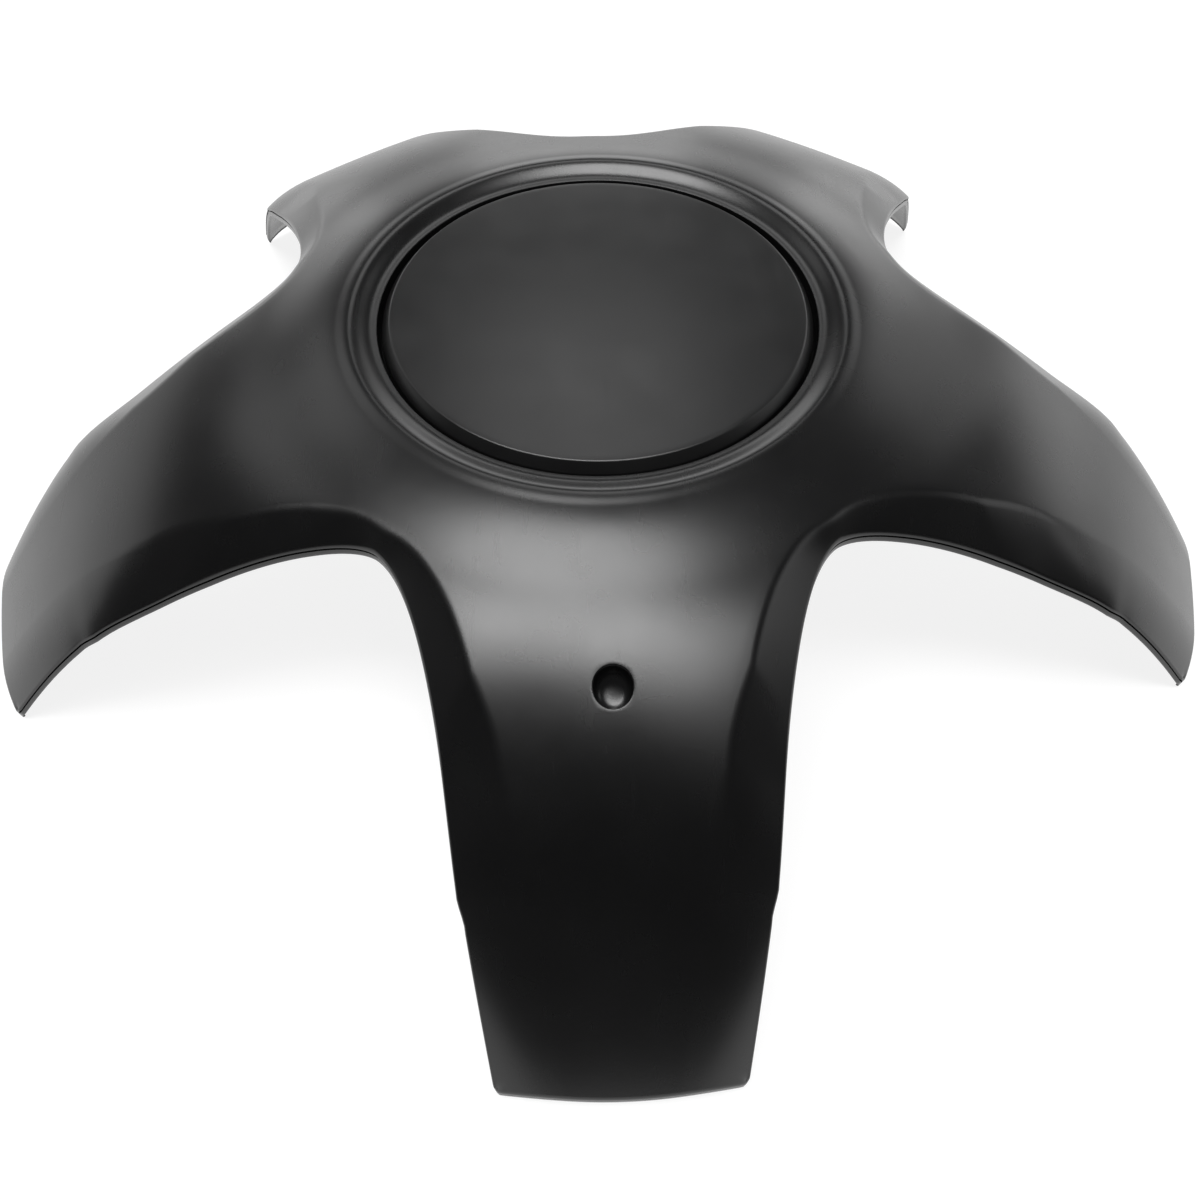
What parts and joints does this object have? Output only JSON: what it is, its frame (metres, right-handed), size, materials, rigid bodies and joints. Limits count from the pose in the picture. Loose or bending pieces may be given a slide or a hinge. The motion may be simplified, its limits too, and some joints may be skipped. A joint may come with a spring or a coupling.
{
  "type": "wheel centre cap",
  "caption": "Star-shaped wheel centre cap for a family car, with curved arms over the wheel nuts, a dished hub, a bare round badge disc and sprung snap legs.",
  "frame": {"origin": "on the cap's axis, in the plane of the face that seats on the wheel's hub", "axes": "+Z along the axis, out of the wheel, towards the badge; -Y along the arm with the blind hole; +X to the right, seen with that arm towards the viewer"},
  "size_m": [0.2568, 0.246, 0.0506],
  "materials": {
    "black_shell": "satin black moulded ABS with a faint grain",
    "black_disc": "satin black moulded ABS, a little lighter than the shell",
    "spring_wire": "zinc plated spring steel wire"
  },
  "bodies": {
    "root": {"cap_shell": "black_shell", "badge_disc": "black_disc", "spring_ring": "spring_wire"}
  },
  "joints": []
}
